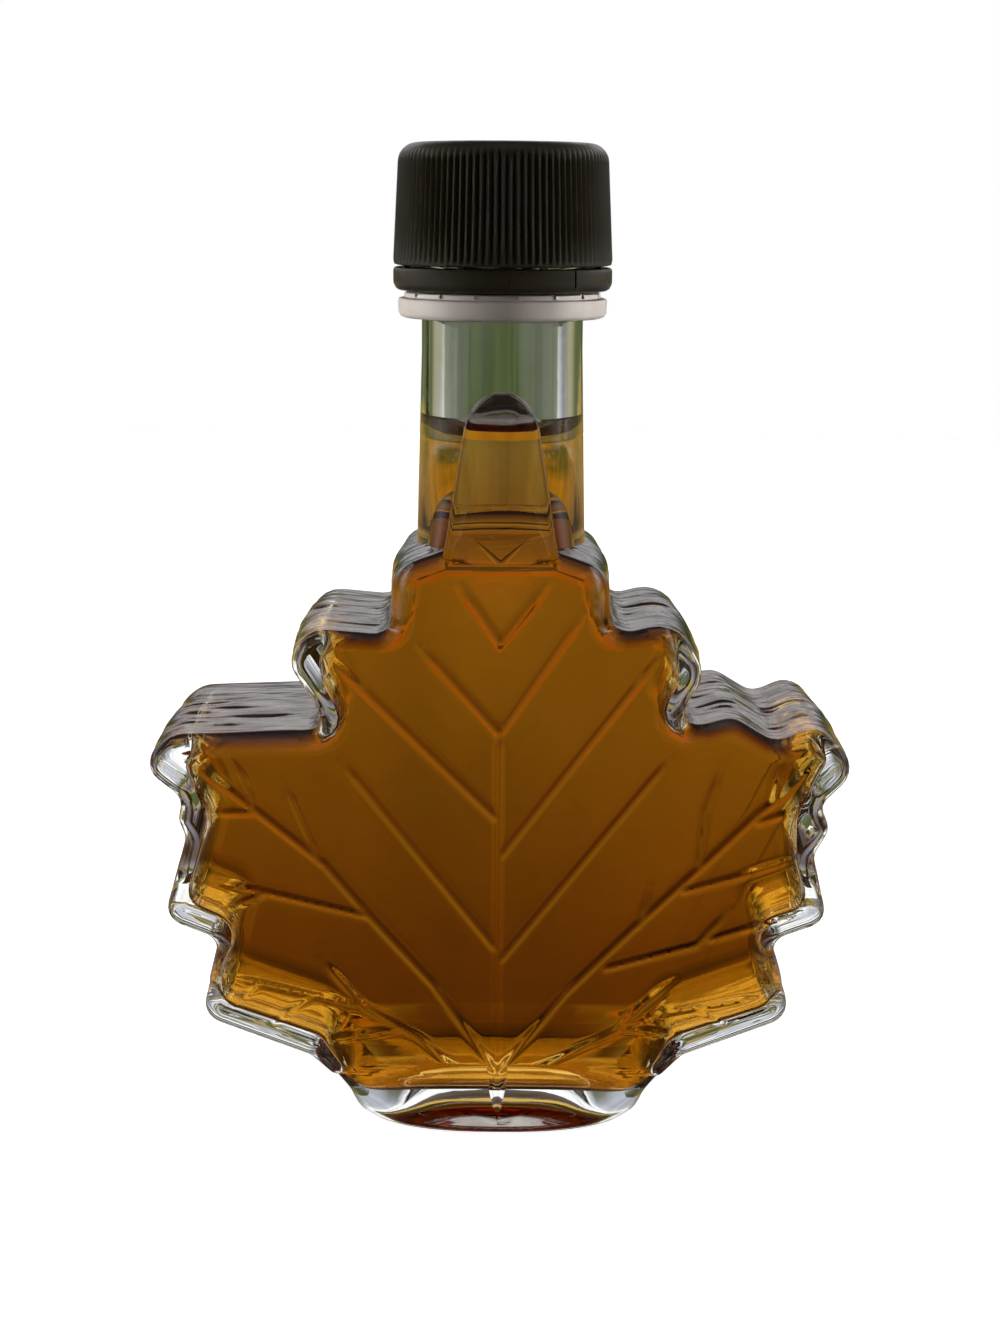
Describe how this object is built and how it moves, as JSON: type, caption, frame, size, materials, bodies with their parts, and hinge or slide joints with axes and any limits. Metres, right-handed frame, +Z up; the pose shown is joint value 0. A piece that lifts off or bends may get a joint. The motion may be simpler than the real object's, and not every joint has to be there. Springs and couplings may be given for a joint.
{
  "type": "maple syrup bottle",
  "caption": "Small clear glass bottle in the shape of a maple leaf with raised veins, filled with amber maple syrup up into the round neck, with a dark ribbed screw cap.",
  "frame": {"origin": "centre of the foot on the surface the bottle stands on, under the neck's axis", "axes": "+Z up along the neck, +X to the right across the leaf, +Y to the back; the leaf's front face looks towards -Y"},
  "size_m": [0.0899, 0.0335, 0.1273],
  "materials": {
    "clear_glass": "clear moulded glass, polished, with faint ripples on the side walls",
    "maple_syrup": "dark amber syrup, clear, brown where it is deep and golden where it is thin",
    "dark_cap": "very dark brown moulded plastic, satin, with fine upright ribs",
    "dark_band": "very dark brown moulded plastic, smooth",
    "pale_collar": "milky grey translucent plastic"
  },
  "bodies": {
    "root": {"bottle": "clear_glass", "syrup": "maple_syrup", "cap": "dark_cap", "tamper_band": "dark_band", "collar": "pale_collar"}
  },
  "joints": []
}
